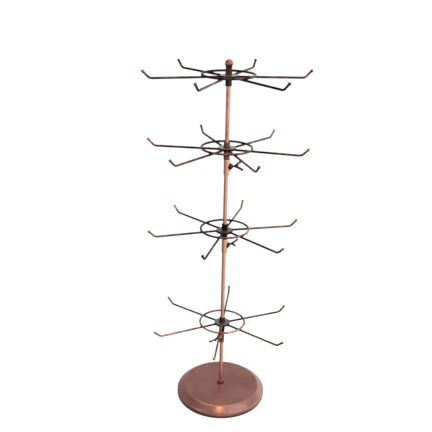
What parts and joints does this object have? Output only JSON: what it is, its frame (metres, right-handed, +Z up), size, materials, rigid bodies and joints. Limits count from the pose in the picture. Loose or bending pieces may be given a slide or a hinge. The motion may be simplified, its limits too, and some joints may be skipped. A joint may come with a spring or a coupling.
{
  "type": "rotating display rack",
  "caption": "Countertop rotating display rack: spiders of hooked wire arms spin on a slim pole above a round weighted base, each held at its height by a collar with a wing screw.",
  "frame": {"origin": "centre of the base on the face it stands on, on the pole's axis", "axes": "+Z up along the pole; +X to the right and +Y to the back as seen by a shopper in front of the rack"},
  "size_m": [0.2328, 0.2348, 0.5515],
  "materials": {
    "copper_coat": "satin brushed antique copper coat",
    "iron_weight": "raw cast",
    "foam_pad": "matte",
    "pole_copper": "satin antique copper plate",
    "wire_copper": "antique copper, darkened towards the hub and burnished at the tips",
    "dark_bronze": "near-black antique bronze",
    "zinc_hardware": "zinc plated"
  },
  "bodies": {
    "stand": {"base_cover": "copper_coat", "base_weight": "iron_weight", "base_pad": "foam_pad", "pole": "pole_copper", "pole_upper_nut": "zinc_hardware", "pole_washer": "zinc_hardware", "pole_lower_nut": "zinc_hardware"},
    "top_spider": {"ball_finial": "pole_copper", "top_hub_tube": "dark_bronze", "top_hub_disc": "dark_bronze", "top_ring": "wire_copper", "top_arm_1": "wire_copper", "top_arm_2": "wire_copper", "top_arm_3": "wire_copper", "top_arm_4": "wire_copper", "top_arm_5": "wire_copper", "top_arm_6": "wire_copper"},
    "upper_clamp": {"upper_collar": "pole_copper", "upper_collar_nut": "dark_bronze"},
    "upper_spider": {"upper_hub_tube": "dark_bronze", "upper_hub_disc": "dark_bronze", "upper_ring": "wire_copper", "upper_arm_1": "wire_copper", "upper_arm_2": "wire_copper", "upper_arm_3": "wire_copper", "upper_arm_4": "wire_copper", "upper_arm_5": "wire_copper", "upper_arm_6": "wire_copper"},
    "upper_screw": {"upper_wing_screw": "dark_bronze"},
    "middle_clamp": {"middle_collar": "pole_copper", "middle_collar_nut": "dark_bronze"},
    "middle_spider": {"middle_hub_tube": "dark_bronze", "middle_hub_disc": "dark_bronze", "middle_ring": "wire_copper", "middle_arm_1": "wire_copper", "middle_arm_2": "wire_copper", "middle_arm_3": "wire_copper", "middle_arm_4": "wire_copper", "middle_arm_5": "wire_copper", "middle_arm_6": "wire_copper"},
    "middle_screw": {"middle_wing_screw": "dark_bronze"},
    "lower_clamp": {"lower_collar": "pole_copper", "lower_collar_nut": "dark_bronze"},
    "lower_spider": {"lower_hub_tube": "dark_bronze", "lower_hub_disc": "dark_bronze", "lower_ring": "wire_copper", "lower_arm_1": "wire_copper", "lower_arm_2": "wire_copper", "lower_arm_3": "wire_copper", "lower_arm_4": "wire_copper", "lower_arm_5": "wire_copper", "lower_arm_6": "wire_copper"},
    "lower_screw": {"lower_wing_screw": "dark_bronze"}
  },
  "joints": [
    {"name": "top_spider_spin", "type": "hinge", "parent": "stand", "child": "top_spider", "pos_m": [0, 0, 0.529], "axis": [0, 0, 1], "continuous": true},
    {"name": "upper_clamp_slide", "type": "slide", "parent": "stand", "child": "upper_clamp", "axis": [0, 0, 1], "range_m": [-0.035, 0.07]},
    {"name": "upper_spider_spin", "type": "hinge", "parent": "upper_clamp", "child": "upper_spider", "pos_m": [0, 0, 0.4295], "axis": [0, 0, 1], "continuous": true},
    {"name": "upper_screw_turn", "type": "hinge", "parent": "upper_clamp", "child": "upper_screw", "pos_m": [0, 0, 0.40435], "axis": [0.9563, 0.2924, 0], "range_deg": [0, 270]},
    {"name": "middle_clamp_slide", "type": "slide", "parent": "stand", "child": "middle_clamp", "axis": [0, 0, 1], "range_m": [-0.055, 0.035]},
    {"name": "middle_spider_spin", "type": "hinge", "parent": "middle_clamp", "child": "middle_spider", "pos_m": [0, 0, 0.305], "axis": [0, 0, 1], "continuous": true},
    {"name": "middle_screw_turn", "type": "hinge", "parent": "middle_clamp", "child": "middle_screw", "pos_m": [0, 0, 0.27985], "axis": [0.8192, 0.5736, 0], "range_deg": [0, 270]},
    {"name": "lower_clamp_slide", "type": "slide", "parent": "stand", "child": "lower_clamp", "axis": [0, 0, 1], "range_m": [-0.08, 0.055]},
    {"name": "lower_spider_spin", "type": "hinge", "parent": "lower_clamp", "child": "lower_spider", "pos_m": [0, 0, 0.1405], "axis": [0, 0, 1], "continuous": true},
    {"name": "lower_screw_turn", "type": "hinge", "parent": "lower_clamp", "child": "lower_screw", "pos_m": [0, 0, 0.11535], "axis": [-0.6428, -0.766, 0], "range_deg": [0, 270]}
  ]
}
